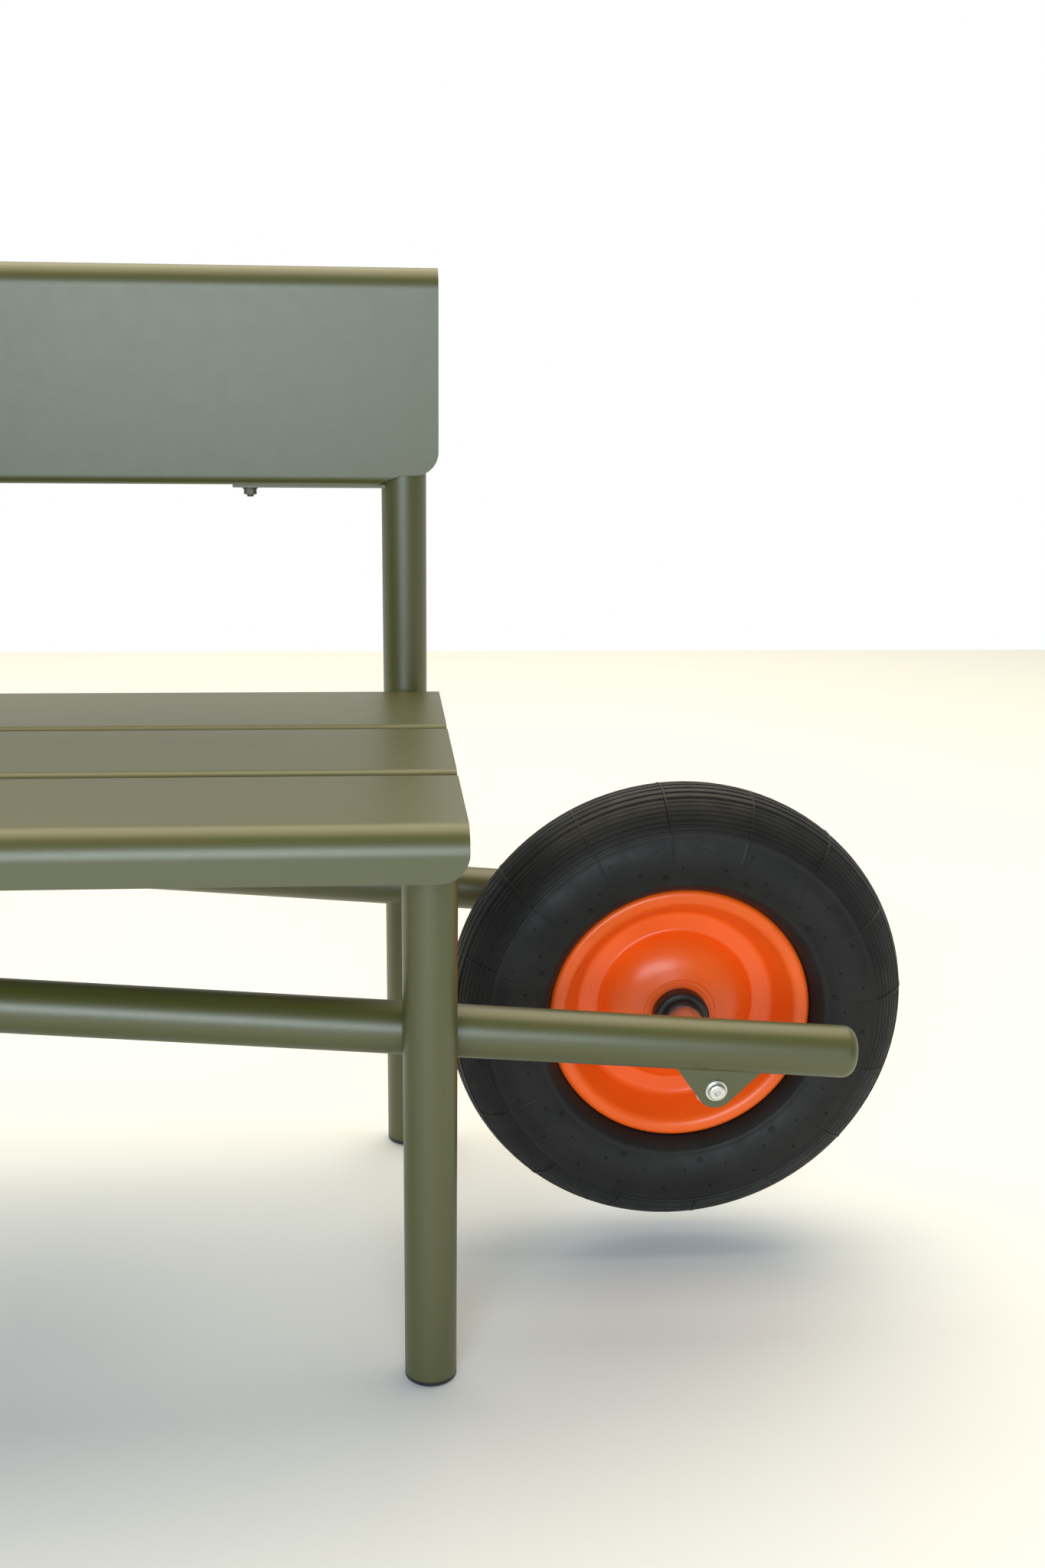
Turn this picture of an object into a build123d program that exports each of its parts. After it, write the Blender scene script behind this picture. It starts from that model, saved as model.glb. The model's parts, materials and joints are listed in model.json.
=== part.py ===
from build123d import *
import math
import os

# Garden bench on a wheelbarrow chassis: tube frame, folded sheet seat and back, one pneumatic wheel.
# It is drawn with x = 0 at the bay line beside the wheel, from which leg and axle places are counted,
# y = 0 midway between the front and the rear legs and z = 0 on the ground; +X points towards the
# wheel and -Y is the side people sit on. At the end everything is moved so that the origin is under
# the centre of the whole object.

os.makedirs("parts", exist_ok=True)

# ---------------------------------------------------------------- driving dimensions, millimetres
# tubes of the frame
tube_diameter = 41.0
tube_wall = 2.0
leg_spread = 418.0            # front leg axis to rear leg axis
rail_inset = 28.8             # leg axis to rail axis, so that the legs are coped round the rails
front_leg_inset = 2.0         # bay line to the front leg's axis, towards the middle of the bench
post_inset = 9.0              # the same for the rear leg, which is also the post
rail_clearance = 35.5         # underside of the rail at the bay line, above the axle
rail_slope = 4.66             # degrees, down towards the wheel
rail_past_axle = 108.0        # axle to the rail's closed end
handle_reach = 240.0          # seat end to the end of the handles
end_rounding = 9.5
cap_length = 11.0
spigot_length = 14.0
fit_clearance = 0.1
sharpest_bend = 0.2           # inside radius where a sheet is bent sharply

# seat and back, folded from sheet
seat_length = 1120.0
seat_height = 475.0
seat_overhang = 22.0          # sheet end to the bay line
seat_setback = 1.5            # rear edge of the seat to the posts
board_pitch = 162.0
board_gap = 6.0
sheet = 2.0
board_flange = 15.0
board_bend = 8.0
front_bend = 20.0
apron_height = 38.0
end_corner = 21.0
back_top = 848.0
back_bottom = 662.0
back_bend_top = 20.0
back_bend_bottom = 8.0
top_return = 44.0
bottom_return = 38.0
notch_height = 9.0            # how far the lower fold is cut away in front of a post
notch_side = 5.0              # post to where that cut starts
notch_run = 22.0              # length over which it rises to its full height
notch_rounding = 20.0

# bearers under the boards
bearer_width = 30.0
bearer_height = 22.0
bearer_wall = 2.0
bearer_end_gap = 6.0
stud_spread = 100.0

# studs and nuts
stud_diameter = 6.0
stud_hole_clearance = 0.5
thread_clearance = 0.05
nut_across_flats = 10.0
nut_height = 5.0
washer_diameter = 14.0
washer_thickness = 1.6
stud_end = 2.0                # thread standing below the nut

# brackets between the back and the posts
tab_thickness = 3.0
tab_depth = 22.0
lower_bracket_length = 155.0
lower_bracket_stud = 140.0
upper_bracket_length = 76.0
upper_bracket_stud = 56.0
upper_bracket_drop = 50.0
upper_bracket_cope = 1.0
post_cap_thickness = 3.0
hanger_gap = 1.0              # panel's roll to the hanger under its top edge
post_cap_gap = 2.0            # post cap to where the panel's roll starts

# feet
foot_flange = 4.0
foot_plug = 18.0

# axle and its brackets
tyre_gap = 23.0               # bay line to the tyre
wheel_clearance = 29.0        # ground to the tyre, which hangs clear
axle_diameter = 20.0
plate_thickness = 5.0
plate_width = 72.0            # along the rail
plate_nose = 15.0
axle_bolt_diameter = 8.0
bolt_hole_clearance = 0.5
bolt_depth = 24.0
bolt_head_diameter = 14.0
bolt_head_height = 4.4
bolt_socket = 5.0
bolt_socket_depth = 2.6
bolt_washer_diameter = 17.0
sleeve_diameter = 32.0
sleeve_wall = 3.0
hub_side_play = 0.5

# wheel: offsets are from its centre plane to the face that points outwards
tyre_diameter = 400.0
tyre_width = 100.0
tyre_wall = 6.0
rim_sheet = 2.0
flange_diameter = 229.4
flange_offset = 31.0
flange_curl = 5.0
lip_width = 12.2              # flange's edge to the top of the bead wall
wall_run = 16.0               # how far the bead wall comes in
flat_ring_width = 17.0
dome_shoulder_width = 14.5
dome_shoulder_offset = 19.0
collar_diameter = 64.0
collar_offset = 25.0
collar_step = 1.0
collar_step_width = 3.5
collar_bend = 0.6
dome_bend = 45.0
wall_bend = 8.0
dome_foot_bend = 3.0
curl_straight = 0.5           # what is left straight at the end of the flange's curl
hub_tube_diameter = 36.0
hub_tube_wall = 2.5
bush_flange_diameter = 49.0
bush_flange_offset = 40.0
bush_flange_rounding = 4.0
bush_neck_diameter = 37.0
bush_neck_offset = 46.0
bush_spigot = 18.0
running_clearance = 0.05
bead_clearance = 0.8
bead_height = 11.0
tube_air_gap = 5.0
tube_crown_gap = 1.0
inner_tube_wall = 2.0
valve_diameter = 8.0
valve_hole_clearance = 0.8
valve_root = 22.5             # rim wall to the inner tube, along the valve
valve_length = 26.0           # rim wall to the valve's tip
valve_turn = 65.0             # degrees round the wheel
valve_cap_wall = 1.2
valve_cap_length = 9.0
valve_cap_top = 1.0           # cap standing past the valve's tip

# ---------------------------------------------------------------- sizes that follow from them
tube_radius = tube_diameter / 2
tube_bore = tube_radius - tube_wall
leg_y = leg_spread / 2
rail_y = leg_y - rail_inset
leg_bay = seat_length - 2 * seat_overhang
seat_end = seat_overhang
seat_start = seat_end - seat_length
front_leg_places = {"wheel_end": -front_leg_inset, "handle_end": front_leg_inset - leg_bay}
post_places = {"wheel_end": -post_inset, "handle_end": post_inset - leg_bay}
seat_middle = (seat_end + seat_start) / 2
post_front = leg_y - tube_radius
seat_back = post_front - seat_setback
flange_bottom = seat_height - board_flange
bearer_bottom = flange_bottom - bearer_height
stud_radius = stud_diameter / 2
back_face = post_front - sheet
post_top = back_top - back_bend_top - post_cap_gap
post_tube_top = post_top - post_cap_thickness
hanger_face = back_top - sheet - tab_thickness
hanger_y = back_face + back_bend_top + hanger_gap + tab_depth / 2
sheet_ends = {"wheel_end": seat_end, "handle_end": seat_start}
ends = {"wheel_end": 1, "handle_end": -1}
sides = {"front": -1, "rear": 1}
slope = math.radians(rail_slope)
axle_offset = tyre_diameter / 2 + tyre_gap
axle_height = tyre_diameter / 2 + wheel_clearance
rail_height = axle_height + tube_radius + rail_clearance
rail_reach = axle_offset + rail_past_axle
rail_nose = rail_reach / math.cos(slope)
rail_tail = -(leg_bay + seat_overhang + handle_reach) / math.cos(slope)
plate_inner_face = rail_y - plate_thickness / 2
plate_outer_face = rail_y + plate_thickness / 2
axle_drop = axle_height - rail_height
axle_along_rail = axle_offset * math.cos(slope) - axle_drop * math.sin(slope)
axle_below_rail = axle_offset * math.sin(slope) + axle_drop * math.cos(slope)
axle_radius = axle_diameter / 2
hub_end = collar_offset + 2 * collar_step

shapes = {}


# ---------------------------------------------------------------- helpers
def bent_sheet(points, radii, thickness):
    """Cross-section of a bent sheet: the points follow its outer skin, the metal is on their right."""
    outer = [Vector(*point) for point in points]
    directions = [(b - a).normalized() for a, b in zip(outer, outer[1:])]
    rights = [Vector(d.Y, -d.X) for d in directions]
    inner = [outer[0] + rights[0] * thickness]
    inner_radii = []
    for corner in range(1, len(outer) - 1):
        before, after = rights[corner - 1], rights[corner]
        inner.append(outer[corner] + (before + after) * (thickness / (1 + before.dot(after))))
        turns_right = directions[corner - 1].cross(directions[corner]).Z < 0
        change = -thickness if turns_right else thickness
        inner_radii.append(max(radii[corner - 1] + change, sharpest_bend))
    inner.append(outer[-1] + rights[-1] * thickness)
    skin = FilletPolyline(*outer, radius=radii)
    lining = FilletPolyline(*inner, radius=inner_radii)
    ends = [Line(outer[0], inner[0]), Line(outer[-1], inner[-1])]
    return make_face(skin.edges() + lining.edges() + [end.edge() for end in ends])


def along_x(section, start, end):
    """Solid with a Y-Z cross-section, from x = start to x = end."""
    return Pos(start, 0, 0) * extrude(Plane.YZ * section, end - start)


def upright(radius, bottom, top):
    """Round bar standing on the origin's axis from one height to another."""
    return Pos(0, 0, bottom) * Cylinder(radius, top - bottom, align=(Align.CENTER, Align.CENTER, Align.MIN))


def pipe(radius, bore, bottom, top):
    """Upright bar with a bore through it."""
    return upright(radius, bottom, top) - upright(bore, bottom - 1, top + 1)


def corner_waste(x, z, radius, towards):
    """What is cut off a lower corner at (x, z) to round it, along Y; towards is the sign of its X side."""
    square = Pos(x - towards * radius / 2, 0, z + radius / 2) * Box(radius, 2 * seat_length, radius)
    round_bar = Pos(x - towards * radius, 0, z + radius) * Rot(X=90) * Cylinder(radius, 2 * seat_length)
    return square - round_bar


def nut_set(x, y, face):
    """Washer and nut on a stud, below a face."""
    bore = stud_radius + thread_clearance
    washer = pipe(washer_diameter / 2, bore, face - washer_thickness, face)
    hexagon = RegularPolygon(nut_across_flats / 2, 6, major_radius=False)
    top = face - washer_thickness
    nut = extrude(hexagon, nut_height) - Cylinder(bore, 3 * nut_height)
    return [Pos(x, y, 0) * washer, Pos(x, y, top - nut_height) * nut]


def stud(x, y, top, bottom):
    """Threaded stud welded under a sheet."""
    return Pos(x, y, 0) * upright(stud_radius, bottom, top)


def stud_hole(x, y, top, bottom):
    """Clearance hole for a stud through whatever lies between two heights."""
    return Pos(x, y, 0) * upright(stud_radius + stud_hole_clearance, bottom - 1, top + 1)


def below_nut(face):
    """Height of the end of a stud whose nut sits below a face."""
    return face - washer_thickness - nut_height - stud_end


# ---------------------------------------------------------------- rails
def rail_place(side):
    """Frame of a rail: origin on its axis at the bay line, X along it towards the wheel."""
    return Pos(0, side * rail_y, rail_height) * Rot(Y=rail_slope)


def rail_bar(side, radius, start, end):
    """Bar along a rail's axis, between two distances from the bay line."""
    bar = Cylinder(radius, end - start, align=(Align.CENTER, Align.CENTER, Align.MIN))
    return rail_place(side) * Pos(start, 0, 0) * Rot(Y=90) * bar


def rail(side):
    start, end = rail_tail + cap_length, rail_nose - cap_length
    return rail_bar(side, tube_radius, start, end) - rail_bar(side, tube_bore, start - 1, end + 1)


def rail_cap():
    """Closed, rounded end of a rail; it looks along +Z and its spigot goes down into the tube."""
    dome = Cylinder(tube_radius, cap_length, align=(Align.CENTER, Align.CENTER, Align.MIN))
    dome = fillet(dome.edges().sort_by(Axis.Z)[-1], end_rounding)
    return dome + upright(tube_bore - fit_clearance, -spigot_length, 0)


for side_name, side in sides.items():
    shapes[f"rail_{side_name}"] = rail(side)
    nose = rail_place(side) * Pos(rail_nose - cap_length, 0, 0) * Rot(Y=90)
    tail = rail_place(side) * Pos(rail_tail + cap_length, 0, 0) * Rot(Y=-90)
    shapes[f"rail_cap_{side_name}_wheel_end"] = nose * rail_cap()
    shapes[f"rail_cap_{side_name}_handle_end"] = tail * rail_cap()


# ---------------------------------------------------------------- legs, posts and feet
def leg(x, side, top):
    """Upright tube from the foot's flange to a height, coped round the rail beside it."""
    tube = Pos(x, side * leg_y, 0) * pipe(tube_radius, tube_bore, foot_flange, top)
    return tube - rail_bar(side, tube_radius, rail_tail, rail_nose)


def foot():
    """Plastic foot: a flange under the tube's end and a plug inside it."""
    flange = chamfer(upright(tube_radius, 0, foot_flange).edges().sort_by(Axis.Z)[0], 1)
    return flange + upright(tube_bore - fit_clearance, foot_flange, foot_flange + foot_plug)


for end_name, x in front_leg_places.items():
    shapes[f"leg_front_{end_name}"] = leg(x, -1, bearer_bottom)
    shapes[f"foot_front_{end_name}"] = Pos(x, -leg_y, 0) * foot()
for end_name, x in post_places.items():
    shapes[f"post_rear_{end_name}"] = leg(x, 1, post_tube_top)
    shapes[f"post_cap_{end_name}"] = Pos(x, leg_y, 0) * upright(tube_radius, post_tube_top, post_top)
    shapes[f"foot_rear_{end_name}"] = Pos(x, leg_y, 0) * foot()


# ---------------------------------------------------------------- seat boards on their bearers
board_backs = {
    "rear": seat_back,
    "middle": seat_back - board_pitch,
    "front": seat_back - 2 * board_pitch,
}
board_width = board_pitch - board_gap
seat_front = board_backs["front"] - board_width
bearer_places = {**post_places, "middle": seat_middle}
board_middles = [back - board_width / 2 for back in board_backs.values()]
stud_rows = [middle + step * stud_spread / 2 for middle in board_middles for step in (-1, 1)]


def seat_board(back, front_drop, front_radius):
    """Folded board: a flat top with a rear flange and a front flange or apron."""
    front = back - board_width
    corners = [
        (front, seat_height - front_drop),
        (front, seat_height),
        (back, seat_height),
        (back, flange_bottom),
    ]
    return along_x(bent_sheet(corners, [front_radius, board_bend], sheet), seat_start, seat_end)


def bearer(x, end, post):
    """Square tube across the bench under the boards; an outer one is coped to the post behind it."""
    start = seat_front + sheet + bearer_end_gap
    middle = Pos(x, (start + end) / 2, (bearer_bottom + flange_bottom) / 2)
    tube = middle * Box(bearer_width, end - start, bearer_height)
    hollow = Box(bearer_width - 2 * bearer_wall, end - start + 2, bearer_height - 2 * bearer_wall)
    tube -= middle * hollow
    for y in stud_rows:
        tube -= stud_hole(x, y, flange_bottom, bearer_bottom)
    if post:
        tube -= Pos(x, leg_y, 0) * upright(tube_radius, 0, post_top)
    return tube


shapes["seat_board_rear"] = seat_board(board_backs["rear"], board_flange, board_bend)
shapes["seat_board_middle"] = seat_board(board_backs["middle"], board_flange, board_bend)
front_board = seat_board(board_backs["front"], apron_height, front_bend)
for end_name, x in sheet_ends.items():
    front_board -= corner_waste(x, seat_height - apron_height, end_corner, ends[end_name])
shapes["seat_board_front"] = front_board

for end_name, x in post_places.items():
    shapes[f"bearer_{end_name}"] = bearer(x, leg_y, post=True)
shapes["bearer_middle"] = bearer(seat_middle, seat_back - sheet - bearer_end_gap, post=False)

stud_points = [(x, y) for x in bearer_places.values() for y in stud_rows]
seat_studs = [stud(x, y, seat_height - sheet, below_nut(bearer_bottom)) for x, y in stud_points]
seat_nuts = [part for x, y in stud_points for part in nut_set(x, y, bearer_bottom)]
shapes["seat_studs"] = Compound(children=seat_studs)
shapes["seat_nuts"] = Compound(children=seat_nuts)


# ---------------------------------------------------------------- back and its brackets
def back_panel():
    """Folded back: rolled top edge over the posts, lower edge folded behind and cut away at each post."""
    corners = [
        (back_face + bottom_return, back_bottom),
        (back_face, back_bottom),
        (back_face, back_top),
        (back_face + top_return, back_top),
    ]
    panel = along_x(bent_sheet(corners, [back_bend_bottom, back_bend_top], sheet), seat_start, seat_end)
    for end_name, post_x in post_places.items():
        towards = ends[end_name]
        panel -= fold_notch(post_x, sheet_ends[end_name] + towards, towards)
        panel -= corner_waste(sheet_ends[end_name], back_bottom + notch_height, end_corner, towards)
    return panel


def fold_notch(post_x, outer, towards):
    """What is cut off the lower fold, from beside the post to the sheet's end: a slope, then level."""
    start = post_x - towards * (tube_radius + notch_side)
    top = back_bottom + notch_height
    corners = [(start, back_bottom), (start + towards * notch_run, top), (outer, top)]
    corners += [(outer, back_bottom - notch_height), (start, back_bottom - notch_height)]
    notch = extrude(Plane.XZ * Polygon(*corners, align=None), 2 * leg_y, both=True)
    turn = notch.edges().filter_by(Axis.Y).sort_by_distance((start + towards * notch_run, 0, top))[0]
    return fillet(turn, notch_rounding)


def flat_bar(x_from, x_to, y, bottom, top):
    """Flat bar behind the panel, centred on y."""
    middle = Pos((x_from + x_to) / 2, y, (bottom + top) / 2)
    return middle * Box(abs(x_to - x_from), tab_depth, top - bottom)


def lower_bracket(post_x, towards):
    """Bar under the panel's lower fold, from the post to its stud and a little past it."""
    bottom = back_bottom - tab_thickness
    bar = flat_bar(post_x - towards * lower_bracket_length, post_x, leg_y, bottom, back_bottom)
    bar -= Pos(post_x, leg_y, 0) * upright(tube_radius, 0, post_top)
    return bar - stud_hole(post_x - towards * lower_bracket_stud, leg_y, back_bottom, bottom)


def upper_bracket(post_x, towards):
    """Angle beside the post's upper end that carries the panel's rolled top edge."""
    side_face = post_x - towards * tube_radius
    outer_face = side_face - towards * tab_thickness
    inner_face = side_face + towards * upper_bracket_cope
    top = hanger_face + tab_thickness
    bottom = top - upper_bracket_drop
    hanger = flat_bar(post_x - towards * upper_bracket_length, side_face, hanger_y, hanger_face, top)
    drop = flat_bar(outer_face, side_face, hanger_y, bottom, top)
    weld_side = flat_bar(outer_face, inner_face, hanger_y, bottom, post_tube_top)
    weld_side -= Pos(post_x, leg_y, 0) * upright(tube_radius, 0, post_top)
    hole = stud_hole(post_x - towards * upper_bracket_stud, hanger_y, top, hanger_face)
    return hanger + drop + weld_side - hole


shapes["back_panel"] = back_panel()
back_studs = []
back_nuts = []
for end_name, x in post_places.items():
    towards = ends[end_name]
    shapes[f"back_bracket_lower_{end_name}"] = lower_bracket(x, towards)
    shapes[f"back_bracket_upper_{end_name}"] = upper_bracket(x, towards)
    lower_stud = x - towards * lower_bracket_stud
    upper_stud = x - towards * upper_bracket_stud
    back_studs.append(stud(lower_stud, leg_y, back_bottom, below_nut(back_bottom - tab_thickness)))
    back_studs.append(stud(upper_stud, hanger_y, back_top - sheet, below_nut(hanger_face)))
    back_nuts += nut_set(lower_stud, leg_y, back_bottom - tab_thickness)
    back_nuts += nut_set(upper_stud, hanger_y, hanger_face)
shapes["back_studs"] = Compound(children=back_studs)
shapes["back_nuts"] = Compound(children=back_nuts)


# ---------------------------------------------------------------- axle, its plates, sleeves and bolts
def axle_plate(side):
    """Triangular plate welded under a rail, rounded round the axle bolt."""
    nose = Pos(axle_along_rail, axle_below_rail) * Circle(plate_nose)
    base = -(tube_radius - plate_thickness / 2)
    left, right = axle_along_rail - plate_width / 2, axle_along_rail + plate_width / 2
    outline = make_hull(nose.edges() + Line((left, base), (right, base)).edges())
    plate = rail_place(side) * extrude(Plane.XZ * outline, plate_thickness / 2, both=True)
    plate -= rail_bar(side, tube_radius, rail_tail, rail_nose)
    return plate - bolt_axis(side) * Cylinder(axle_bolt_diameter / 2 + bolt_hole_clearance, 4 * rail_y)


def bolt_axis(side):
    """Frame on the axle's line with Z pointing out of one side of the bench."""
    return Pos(axle_offset, 0, axle_height) * Rot(X=-90 * side)


def axle_bolt():
    """Button-head bolt up the Z axis, its head resting on the washer outside the plate."""
    seat = plate_outer_face + washer_thickness
    head = Cylinder(bolt_head_diameter / 2, bolt_head_height, align=(Align.CENTER, Align.CENTER, Align.MIN))
    head = fillet(head.edges().sort_by(Axis.Z)[-1], bolt_head_height / 2)
    socket = extrude(RegularPolygon(bolt_socket / 2, 6, major_radius=False), bolt_head_height)
    head -= Pos(0, 0, bolt_head_height - bolt_socket_depth) * socket
    return Pos(0, 0, seat) * head + upright(axle_bolt_diameter / 2, plate_inner_face - bolt_depth, seat)


axle = bolt_axis(1) * Cylinder(axle_radius, 2 * plate_inner_face)
for side_name, side in sides.items():
    out = bolt_axis(side)
    shapes[f"axle_plate_{side_name}"] = axle_plate(side)
    sleeve = pipe(sleeve_diameter / 2, sleeve_diameter / 2 - sleeve_wall, bush_neck_offset + hub_side_play,
                  plate_inner_face)
    shapes[f"axle_sleeve_{side_name}"] = out * sleeve
    axle -= out * upright(axle_bolt_diameter / 2, plate_inner_face - bolt_depth, plate_inner_face + 1)
shapes["axle"] = axle
washer = pipe(bolt_washer_diameter / 2, axle_bolt_diameter / 2, plate_outer_face,
              plate_outer_face + washer_thickness)
shapes["axle_bolts"] = Compound(children=[bolt_axis(side) * axle_bolt() for side in sides.values()])
shapes["axle_washers"] = Compound(children=[bolt_axis(side) * washer for side in sides.values()])


# ---------------------------------------------------------------- wheel, drawn about Z and then laid over
tyre_radius = tyre_diameter / 2
tyre_section = tyre_width / 2
flange_radius = flange_diameter / 2
wall_top = (flange_radius - lip_width, flange_offset)
wall_foot = (wall_top[0] - wall_run, rim_sheet)
dome_radius = wall_foot[0] - flat_ring_width
valve_radius = valve_diameter / 2


def rim_half():
    """Pressed half of the rim: collar round the hub, dome, flat ring, bead wall and curled flange."""
    collar = collar_diameter / 2
    points = [
        (hub_tube_diameter / 2, hub_end),
        (collar - collar_step_width - collar_step, hub_end),
        (collar - collar_step_width, hub_end - collar_step),
        (collar - collar_step, hub_end - collar_step),
        (collar, collar_offset),
        (dome_radius - dome_shoulder_width, dome_shoulder_offset),
        (dome_radius, rim_sheet),
        wall_foot,
        wall_top,
        (flange_radius, flange_offset),
        (flange_radius, flange_offset - flange_curl),
    ]
    radii = [collar_bend, collar_bend, collar_bend, collar_step, dome_bend, dome_foot_bend]
    radii += [wall_bend, wall_bend, flange_curl - curl_straight]
    return revolve(Plane.XZ * bent_sheet(points, radii, rim_sheet), Axis.Z)


def valve_frame():
    """Frame in the middle of the rear rim wall; Z points out of the wall towards the axle."""
    middle = ((wall_top[0] + wall_foot[0]) / 2, 0, -(wall_top[1] + wall_foot[1]) / 2)
    inward = (-(wall_top[1] - wall_foot[1]), 0, -(wall_top[0] - wall_foot[0]))
    return Rot(Z=valve_turn) * Location(Plane(origin=middle, z_dir=inward))


def tyre():
    """Hollow tyre: round section with a bead that grips each flange."""
    centre = tyre_radius - tyre_section
    mouth = flange_radius + tyre_wall
    ring = Pos(centre, 0) * (Circle(tyre_section) - Circle(tyre_section - tyre_wall))
    ring = revolve(Plane.XZ * (ring - Rectangle(2 * mouth, tyre_width)), Axis.Z)
    opening = centre - mouth
    outer_rise = math.sqrt(tyre_section ** 2 - opening ** 2)
    bead_bottom = wall_top[0] + rim_sheet
    bead_face = flange_offset - rim_sheet - bead_clearance
    curl_inside = flange_radius - rim_sheet - bead_clearance
    curl_end = flange_offset - flange_curl - bead_clearance
    bead = Polygon(
        (bead_bottom, bead_face - bead_height),
        (bead_bottom, bead_face),
        (curl_inside, bead_face),
        (curl_inside, curl_end),
        (flange_radius + bead_clearance, curl_end),
        (flange_radius + bead_clearance, flange_offset),
        (mouth, outer_rise),
        (mouth + tyre_wall, outer_rise - tyre_wall / 2),
        (mouth, bead_face - tyre_wall),
        (curl_inside, bead_face - bead_height),
        align=None,
    )
    bead = revolve(Plane.XZ * bead, Axis.Z)
    return ring + bead + mirror(bead, about=Plane.XY)


def bush():
    """Plastic bush in one end of the hub, with a flange against the rim and a neck towards the sleeve."""
    flange = upright(bush_flange_diameter / 2, hub_end, bush_flange_offset)
    flange = fillet(flange.edges().sort_by(Axis.Z)[-1], bush_flange_rounding)
    neck = upright(bush_neck_diameter / 2, hub_end, bush_neck_offset)
    neck = fillet(neck.edges().sort_by(Axis.Z)[-1], bush_flange_rounding)
    spigot = upright(hub_tube_diameter / 2 - hub_tube_wall, hub_end - bush_spigot, hub_end)
    return flange + neck + spigot - Cylinder(axle_radius + running_clearance, 4 * bush_neck_offset)


half = rim_half()
tube_section = tyre_section - tyre_wall - tube_air_gap
tube_centre = tyre_radius - tyre_wall - tube_crown_gap - tube_section
stem = upright(valve_radius, -valve_root, valve_length)
cap_end = valve_length + valve_cap_top
cap = upright(valve_radius + valve_cap_wall, cap_end - valve_cap_length, cap_end)
valve_hole = valve_frame() * Cylinder(valve_radius + valve_hole_clearance, 2 * flange_curl + rim_sheet)
wheel = {
    "rim_front": half,
    "rim_rear": mirror(half, about=Plane.XY) - valve_hole,
    "hub_tube": pipe(hub_tube_diameter / 2, hub_tube_diameter / 2 - hub_tube_wall, -hub_end, hub_end),
    "hub_bush_front": bush(),
    "hub_bush_rear": mirror(bush(), about=Plane.XY),
    "tyre": tyre(),
    "inner_tube": Torus(tube_centre, tube_section) - Torus(tube_centre, tube_section - inner_tube_wall),
    "valve_stem": valve_frame() * stem,
    "valve_cap": valve_frame() * (cap - stem),
}
for name, shape in wheel.items():
    shapes[name] = bolt_axis(-1) * shape

# ---------------------------------------------------------------- origin under the centre, then files
boxes = [shape.bounding_box() for shape in shapes.values()]
centre_x = (min(box.min.X for box in boxes) + max(box.max.X for box in boxes)) / 2
centre_y = (min(box.min.Y for box in boxes) + max(box.max.Y for box in boxes)) / 2
for name, shape in shapes.items():
    export_step(Pos(-centre_x, -centre_y, 0) * shape, f"parts/{name}.step")
print("axle at", axle_offset - centre_x, -centre_y, axle_height)
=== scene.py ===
import json
import math

import bpy
from mathutils import Matrix, Vector


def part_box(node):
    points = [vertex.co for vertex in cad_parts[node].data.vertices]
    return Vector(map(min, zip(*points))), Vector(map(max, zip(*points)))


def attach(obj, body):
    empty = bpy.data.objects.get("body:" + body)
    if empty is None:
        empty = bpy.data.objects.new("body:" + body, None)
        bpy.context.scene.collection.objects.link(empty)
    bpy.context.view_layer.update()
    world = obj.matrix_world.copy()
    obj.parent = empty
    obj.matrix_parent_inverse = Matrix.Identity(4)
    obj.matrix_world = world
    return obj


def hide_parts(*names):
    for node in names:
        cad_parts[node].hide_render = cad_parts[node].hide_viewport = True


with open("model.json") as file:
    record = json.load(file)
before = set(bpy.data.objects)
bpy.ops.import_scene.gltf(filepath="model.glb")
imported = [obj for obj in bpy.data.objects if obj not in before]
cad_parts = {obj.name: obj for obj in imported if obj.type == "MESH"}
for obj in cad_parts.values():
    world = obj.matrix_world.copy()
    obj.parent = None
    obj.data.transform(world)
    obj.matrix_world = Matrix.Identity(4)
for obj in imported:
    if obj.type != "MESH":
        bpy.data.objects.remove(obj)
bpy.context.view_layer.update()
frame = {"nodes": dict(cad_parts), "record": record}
record = frame["record"]
nodes = frame["nodes"]

# ---------------------------------------------------------------- node helpers


def new_material(name):
    """An empty node material: returns the material, its shader and a helper that adds a node."""
    material = bpy.data.materials.new(name)
    material.use_nodes = True
    tree = material.node_tree
    shader = tree.nodes["Principled BSDF"]

    def add(kind, **settings):
        node = tree.nodes.new(kind)
        for key, value in settings.items():
            if key in node.inputs:
                node.inputs[key].default_value = value
            else:
                setattr(node, key, value)
        return node

    return material, shader, add


def noise(material, add, scale, detail=2.0, roughness=0.5):
    """Noise in the object's own coordinates, so it goes round with a turning part."""
    place = add("ShaderNodeTexCoord")
    texture = add("ShaderNodeTexNoise", Scale=scale, Detail=detail, Roughness=roughness)
    material.node_tree.links.new(place.outputs["Object"], texture.inputs["Vector"])
    return texture.outputs["Fac"]


def ramp(material, add, source, stops):
    """Colour ramp from (position, colour) stops, driven by source."""
    node = add("ShaderNodeValToRGB")
    elements = node.color_ramp.elements
    while len(elements) < len(stops):
        elements.new(0.5)
    for element, (position, colour) in zip(elements, stops):
        element.position = position
        element.color = (*colour, 1.0)
    material.node_tree.links.new(source, node.inputs["Fac"])
    return node.outputs["Color"]


def spread(material, add, source, low, high):
    """Maps the middle of a noise to the range from low to high."""
    node = add("ShaderNodeMapRange")
    node.inputs["From Min"].default_value = 0.3
    node.inputs["From Max"].default_value = 0.7
    node.inputs["To Min"].default_value = low
    node.inputs["To Max"].default_value = high
    material.node_tree.links.new(source, node.inputs["Value"])
    return node.outputs["Result"]


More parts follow.
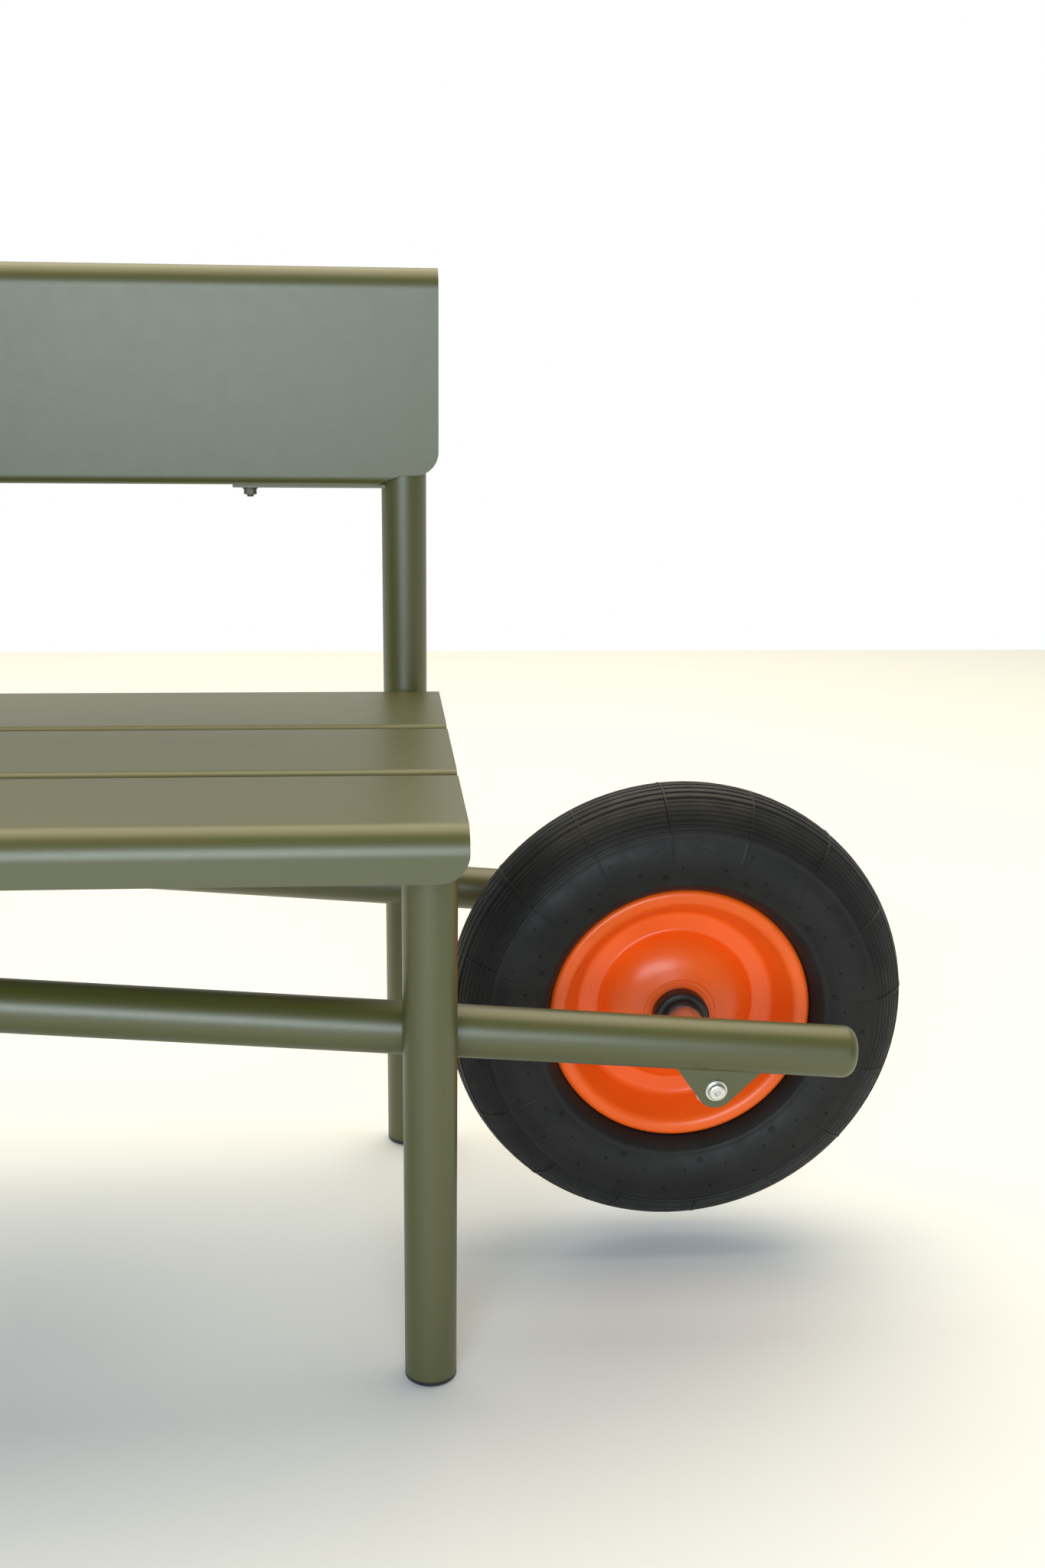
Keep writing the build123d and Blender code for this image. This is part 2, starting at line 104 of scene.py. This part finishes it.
def relief(material, add, shader, layers):
    """Chain of bumps: each layer is (source, height in metres, strength)."""
    links = material.node_tree.links
    below = None
    for source, height, strength in layers:
        bump = add("ShaderNodeBump", Strength=strength, Distance=height)
        links.new(source, bump.inputs["Height"])
        if below is not None:
            links.new(below.outputs["Normal"], bump.inputs["Normal"])
        below = bump
    links.new(below.outputs["Normal"], shader.inputs["Normal"])


# ---------------------------------------------------------------- materials


def powder_coat():
    """Satin moss-green powder coat: slow drift of tone, uneven gloss, fine pebbled skin."""
    material, shader, add = new_material("green_powder_coat")
    links = material.node_tree.links
    tone = noise(material, add, 5.0, 3.0)
    colour = ramp(material, add, tone, [(0.3, (0.061, 0.065, 0.012)), (0.7, (0.065, 0.069, 0.014))])
    links.new(colour, shader.inputs["Base Color"])
    gloss = noise(material, add, 60.0, 4.0)
    links.new(spread(material, add, gloss, 0.395, 0.415), shader.inputs["Roughness"])
    skin = noise(material, add, 1100.0, 2.0)
    flow = noise(material, add, 260.0, 1.0)
    relief(material, add, shader, [(flow, 0.0001, 0.12), (skin, 0.0001, 0.5)])
    shader.inputs["Specular IOR Level"].default_value = 0.85
    return material


def orange_paint():
    """Bright orange paint on pressed steel: semi-gloss, with a slight orange peel."""
    material, shader, add = new_material("orange_paint")
    links = material.node_tree.links
    tone = noise(material, add, 9.0, 3.0)
    colour = ramp(material, add, tone, [(0.3, (0.88, 0.105, 0.004)), (0.7, (0.94, 0.125, 0.007))])
    links.new(colour, shader.inputs["Base Color"])
    gloss = noise(material, add, 40.0, 3.0)
    links.new(spread(material, add, gloss, 0.30, 0.36), shader.inputs["Roughness"])
    peel = noise(material, add, 420.0, 2.0)
    relief(material, add, shader, [(peel, 0.00012, 0.3)])
    return material


def tyre_rubber():
    """Matt black moulded rubber: faint dusty bloom, scuffs and a fine grain."""
    material, shader, add = new_material("tyre_rubber")
    links = material.node_tree.links
    bloom = noise(material, add, 28.0, 6.0, 0.6)
    colour = ramp(material, add, bloom, [(0.35, (0.0075, 0.0075, 0.008)), (0.72, (0.013, 0.013, 0.012))])
    links.new(colour, shader.inputs["Base Color"])
    gloss = noise(material, add, 60.0, 5.0)
    links.new(spread(material, add, gloss, 0.46, 0.62), shader.inputs["Roughness"])
    grain = noise(material, add, 1500.0, 3.0)
    scuffs = noise(material, add, 120.0, 5.0)
    relief(material, add, shader, [(scuffs, 0.0004, 0.12), (grain, 0.0001, 0.4)])
    shader.inputs["Specular IOR Level"].default_value = 0.28
    return material


def plain_rubber():
    """Soft black rubber of the inner tube and the valve."""
    material, shader, add = new_material("black_rubber")
    tone = noise(material, add, 35.0, 4.0)
    colour = ramp(material, add, tone, [(0.3, (0.014, 0.014, 0.014)), (0.7, (0.022, 0.022, 0.022))])
    material.node_tree.links.new(colour, shader.inputs["Base Color"])
    material.node_tree.links.new(spread(material, add, tone, 0.55, 0.68), shader.inputs["Roughness"])
    relief(material, add, shader, [(noise(material, add, 900.0), 0.0001, 0.3)])
    return material


def black_plastic():
    """Moulded black plastic: low gloss, spark-eroded grain."""
    material, shader, add = new_material("black_plastic")
    tone = noise(material, add, 30.0, 3.0)
    colour = ramp(material, add, tone, [(0.3, (0.011, 0.011, 0.012)), (0.7, (0.017, 0.017, 0.018))])
    material.node_tree.links.new(colour, shader.inputs["Base Color"])
    material.node_tree.links.new(spread(material, add, tone, 0.32, 0.44), shader.inputs["Roughness"])
    relief(material, add, shader, [(noise(material, add, 1800.0), 0.00008, 0.35)])
    return material


def plated_steel(name, dark, light, rough):
    """Zinc-plated steel between two tones, with faint spangle and drawing marks."""
    material, shader, add = new_material(name)
    links = material.node_tree.links
    tone = noise(material, add, 160.0, 4.0)
    links.new(ramp(material, add, tone, [(0.3, dark), (0.7, light)]), shader.inputs["Base Color"])
    links.new(spread(material, add, tone, rough - 0.05, rough + 0.05), shader.inputs["Roughness"])
    relief(material, add, shader, [(noise(material, add, 700.0), 0.00005, 0.25)])
    shader.inputs["Metallic"].default_value = 0.9
    return material


def pale_floor():
    """Plain pale studio floor."""
    material, shader, add = new_material("studio_floor")
    tone = noise(material, add, 1.5, 2.0)
    colour = ramp(material, add, tone, [(0.3, (0.81, 0.85, 0.91)), (0.7, (0.83, 0.87, 0.93))])
    material.node_tree.links.new(colour, shader.inputs["Base Color"])
    shader.inputs["Roughness"].default_value = 0.9
    shader.inputs["Specular IOR Level"].default_value = 0.1
    return material


# ---------------------------------------------------------------- tyre

MM = 0.001
SECTION_CENTRE = 150.0        # radius of the section's centre circle, mm
SECTION = 50.0
WALL = 6.0
RIB_FLANK = 0.7               # degrees round the section, as are the next two lists
WIDE_RIBS = [0.0, 8.0, 16.0, 24.0]
FINE_RIBS = [31.0, 36.0, 41.5, 46.0, 52.0, 56.5, 62.0]
WIDE_RIB = (2.3, 1.5)         # half the top's width in degrees, height in mm
FINE_RIB = (0.9, 0.8)
FIN_HEIGHT = 1.9
MOULD_LINES = 16
BEAD = [                      # front half of the part gripped by the rim: (radius, offset)
    (115.5, 31.0), (115.5, 25.2), (111.9, 25.2), (111.9, 28.2), (104.5, 28.2),
    (104.5, 17.2), (111.9, 17.2), (120.7, 22.2),
]


def outer_profile():
    """Outside of the section as (angle from the crown, rib height), one flank to the other."""
    half = []
    ribs = [(middle, *WIDE_RIB) for middle in WIDE_RIBS] + [(middle, *FINE_RIB) for middle in FINE_RIBS]
    for middle, top, height in ribs:
        steps = [(-top - RIB_FLANK, 0.0), (-top, height), (top, height), (top + RIB_FLANK, 0.0)]
        half += [(middle + step, rise) for step, rise in steps if middle + step > 0]
    edge = half[-1][0]
    half += [(edge + 2.5, 0.0), (edge + 3.4, 0.7), (edge + 5.0, 0.7), (edge + 6.2, 0.0)]
    half += [(angle, 0.0) for angle in range(74, 116, 4)]
    half += [(117.0, 0.0), (118.0, 0.6), (120.0, 0.8), (122.0, 0.6), (123.5, 0.0)]
    half += [(125.9, -0.3)]
    return [(-a, h) for a, h in reversed(half)] + half


def fin_height(angle):
    """Height of a mould line's fin at an angle from the crown: tall on the tread, fading on the side."""
    away = abs(angle)
    if away < 66:
        return FIN_HEIGHT
    return 0.4 if away < 96 else 0.0


def section_loop(fin):
    """Closed loop of (radius, offset) in mm; fin is 0 between mould lines and 1 on one."""
    loop = []
    for angle, rib in outer_profile():
        out = SECTION + max(rib, fin * fin_height(angle))
        turn = math.radians(angle)
        loop.append((SECTION_CENTRE + out * math.cos(turn), out * math.sin(turn)))
    loop += BEAD
    start = math.degrees(math.acos((126.7 - SECTION_CENTRE) / (SECTION - WALL)))
    inner = [start * (1 - 2 * k / 28) for k in range(29)]
    for angle in inner:
        turn = math.radians(angle)
        reach = SECTION - WALL
        loop.append((SECTION_CENTRE + reach * math.cos(turn), reach * math.sin(turn)))
    loop += [(radius, -offset) for radius, offset in reversed(BEAD)]
    return loop


def turn_angles():
    """Angles round the wheel with the fin share at each: close together at a mould line."""
    found = []
    step = 360.0 / MOULD_LINES
    for k in range(MOULD_LINES):
        base = k * step + 6.0
        flat = 0.7 if k % 2 else 1.0
        found += [(base - 0.7, 0.0), (base - 0.36, 0.0), (base - 0.2, flat), (base + 0.2, flat)]
        found += [(base + 0.36, 0.0), (base + 0.7, 0.0)]
        found += [(base + step * part / 7, 0.0) for part in range(1, 7)]
    return found


def point_on_wheel(centre, radius, offset, degrees):
    """Row-frame point at a radius, a distance towards the front and an angle round the axle."""
    turn = math.radians(degrees)
    return Vector((
        centre.x + radius * MM * math.cos(turn),
        centre.y - offset * MM,
        centre.z + radius * MM * math.sin(turn),
    ))


def mesh_object(name, points, faces, smooth_angle=math.radians(35)):
    """Mesh object in the scene, smooth apart from its sharp edges."""
    mesh = bpy.data.meshes.new(name)
    mesh.from_pydata([tuple(p) for p in points], [], faces)
    mesh.update()
    mesh.shade_smooth()
    mesh.set_sharp_from_angle(angle=smooth_angle)
    piece = bpy.data.objects.new(name, mesh)
    bpy.context.scene.collection.objects.link(piece)
    return piece


def build_tyre(centre, material):
    """The tyre as one closed mesh: smooth sides, ribbed shoulders and tread, mould lines."""
    columns = turn_angles()
    points = []
    for degrees, fin in columns:
        points += [point_on_wheel(centre, r, u, degrees) for r, u in section_loop(fin)]
    size = len(points) // len(columns)
    faces = []
    for c in range(len(columns)):
        here, after = c * size, ((c + 1) % len(columns)) * size
        for k in range(size):
            up = (k + 1) % size
            faces.append((here + k, here + up, after + up, after + k))
    piece = mesh_object("tyre_ribbed", points, faces)
    piece.data.materials.append(material)
    return piece


def pip(centre, side, radius, degrees, size, height):
    """Points and faces of one vent pip: a low ring-edged button on the tyre's side."""
    out = SECTION ** 2 - (radius - SECTION_CENTRE) ** 2
    offset = side * math.sqrt(out)
    middle = point_on_wheel(centre, radius, offset, degrees)
    normal = middle - point_on_wheel(centre, SECTION_CENTRE, 0.0, degrees)
    facing = normal.to_track_quat("Z", "Y")
    rings = [(1.0, -0.6), (1.0, 0.2), (0.85, 1.0), (0.6, 1.0), (0.45, 0.5), (0.2, 0.55)]
    sides = 14
    points = []
    for share, rise in rings:
        for k in range(sides):
            turn = 2 * math.pi * k / sides
            reach = size / 2 * share
            local = Vector((reach * math.cos(turn), reach * math.sin(turn), rise * height)) * MM
            points.append(middle + facing @ local)
    faces = []
    for ring in range(len(rings) - 1):
        for k in range(sides):
            after = (k + 1) % sides
            low, high = ring * sides, (ring + 1) * sides
            faces.append((low + k, low + after, high + after, high + k))
    faces.append(tuple(range((len(rings) - 1) * sides, len(rings) * sides)))
    faces.append(tuple(reversed(range(sides))))
    return points, faces


def build_pips(centre, material):
    """Vent pips on both sides of the tyre: large ones near the rim, small ones further out."""
    points, faces = [], []
    layout = [(133.0, 12, 5.0, 1.0, 9.0), (141.0, 24, 2.2, 1.0, 3.0), (158.0, 24, 2.0, 1.0, 11.0)]
    for side in (-1, 1):
        for radius, count, size, height, first in layout:
            for k in range(count):
                made, joined = pip(centre, side, radius, first + 360.0 * k / count, size, height)
                faces += [tuple(i + len(points) for i in face) for face in joined]
                points += made
    piece = mesh_object("tyre_vent_pips", points, faces)
    piece.data.materials.append(material)
    return piece


# ---------------------------------------------------------------- finishes on the CAD nodes

# the record's material slots; nuts and studs get zinc darkened to near black, which is painted shade
finishes = {
    "green_powder_coat": powder_coat(),
    "orange_paint": orange_paint(),
    "tyre": tyre_rubber(),
    "black_rubber": plain_rubber(),
    "black_plastic": black_plastic(),
    "zinc_steel": plated_steel("zinc_steel", (0.60, 0.60, 0.57), (0.76, 0.75, 0.70), 0.36),
}
# zinc darkened to near black: painted shade standing in for the shade the nuts and studs sit in under the
# bench
painted_shade_zinc = plated_steel("painted_shade_zinc", (0.075, 0.075, 0.06), (0.12, 0.12, 0.09), 0.5)

for part in record["subparts"]:
    node = nodes[part["node"]]
    node.data.materials.clear()
    # nuts and studs take the darkened zinc, painted shade instead of their own plated colour
    painted_shade_hardware = part["node"].endswith(("_nuts", "_studs"))
    node.data.materials.append(painted_shade_zinc if painted_shade_hardware else finishes[part["material_slot"]])

low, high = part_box("tyre")
axle = (low + high) / 2
tyre = build_tyre(axle, finishes["tyre"])
pips = build_pips(axle, finishes["tyre"])
for piece in (tyre, pips):
    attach(piece, "wheel")
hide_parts("tyre")

# ---------------------------------------------------------------- floor, light and camera


def build_floor():
    """Large plain floor just under the feet."""
    side, near, far, level = 5.0, -5.0, 3.2, -0.0006
    corners = [(-side, near, level), (side, near, level), (side, far, level), (-side, far, level)]
    floor = mesh_object("studio_floor", corners, [(0, 1, 2, 3)])
    floor.data.materials.append(pale_floor())


def soft_light(name, place, target, width, height, power, colour):
    """Rectangular soft light at place, aimed at target."""
    data = bpy.data.lights.new(name, "AREA")
    data.shape = "RECTANGLE"
    data.size = width
    data.size_y = height
    data.energy = power
    data.color = colour
    light = bpy.data.objects.new(name, data)
    light.location = place
    light.rotation_euler = (Vector(target) - Vector(place)).to_track_quat("-Z", "Y").to_euler()
    bpy.context.scene.collection.objects.link(light)


def build_world():
    """Surroundings: bright behind the bench, dimmer in front, warmer overhead; white where seen directly."""
    world = bpy.data.worlds.new("studio")
    bpy.context.scene.world = world
    world.use_nodes = True
    tree = world.node_tree
    lit = tree.nodes["Background"]
    place = tree.nodes.new("ShaderNodeTexCoord")
    parts = tree.nodes.new("ShaderNodeSeparateXYZ")
    depth = tree.nodes.new("ShaderNodeValToRGB")
    height = tree.nodes.new("ShaderNodeValToRGB")
    product = tree.nodes.new("ShaderNodeMix")
    shift = tree.nodes.new("ShaderNodeMapRange")
    shift.inputs["From Min"].default_value = -1.0
    product.data_type = "RGBA"
    product.blend_type = "MULTIPLY"
    product.inputs["Factor"].default_value = 1.0
    # along Y: in front of the bench to behind it
    near, far = depth.color_ramp.elements
    near.position, near.color = 0.40, (0.26, 0.26, 0.25, 1.0)
    far.position, far.color = 0.66, (0.80, 0.80, 0.80, 1.0)
    # along Z: level to overhead
    low, high = height.color_ramp.elements
    low.position, low.color = 0.35, (1.0, 1.0, 1.0, 1.0)
    high.position, high.color = 0.92, (0.95, 0.84, 0.55, 1.0)
    tree.links.new(place.outputs["Generated"], parts.inputs["Vector"])
    tree.links.new(parts.outputs["Y"], shift.inputs["Value"])
    tree.links.new(shift.outputs["Result"], depth.inputs["Fac"])
    tree.links.new(parts.outputs["Z"], height.inputs["Fac"])
    tree.links.new(depth.outputs["Color"], product.inputs[6])
    tree.links.new(height.outputs["Color"], product.inputs[7])
    tree.links.new(product.outputs[2], lit.inputs["Color"])
    seen = tree.nodes.new("ShaderNodeBackground")
    either = tree.nodes.new("ShaderNodeMixShader")
    rays = tree.nodes.new("ShaderNodeLightPath")
    tree.links.new(rays.outputs["Is Camera Ray"], either.inputs["Fac"])
    tree.links.new(lit.outputs["Background"], either.inputs[1])
    tree.links.new(seen.outputs["Background"], either.inputs[2])
    tree.links.new(either.outputs["Shader"], tree.nodes["World Output"].inputs["Surface"])
    seen.inputs["Color"].default_value = (1.0, 1.0, 1.0, 1.0)


def build_camera():
    """Camera at standing height in front of the wheel-end legs."""
    yaw, pitch, roll = math.radians(4.705), math.radians(17.951), math.radians(-0.648)
    forward = Vector((math.sin(yaw) * math.cos(pitch), math.cos(yaw) * math.cos(pitch), -math.sin(pitch)))
    right = Vector((math.cos(yaw), -math.sin(yaw), 0.0))
    down = forward.cross(right)
    across = right * math.cos(roll) + down * math.sin(roll)
    below = down * math.cos(roll) - right * math.sin(roll)
    turn = Matrix((across, -below, -forward)).transposed()
    data = bpy.data.cameras.new("camera")
    data.lens = 37.50
    data.shift_x = 0.0159
    data.shift_y = 0.0660
    camera = bpy.data.objects.new("camera", data)
    camera.matrix_world = Matrix.Translation((0.41259, -1.30260, 0.77282)) @ turn.to_4x4()
    bpy.context.scene.collection.objects.link(camera)
    bpy.context.scene.camera = camera


build_floor()
build_world()
soft_light("window_light", (-0.2, -3.9, 1.40), (0.1, 0.0, 0.7), 2.6, 1.7, 118.0, (0.80, 0.91, 1.0))
soft_light("ceiling_light", (0.1, 1.5, 3.4), (0.1, 1.1, 0.0), 5.5, 4.0, 180.0, (1.0, 0.88, 0.64))
build_camera()
bpy.context.scene.view_settings.view_transform = "Standard"
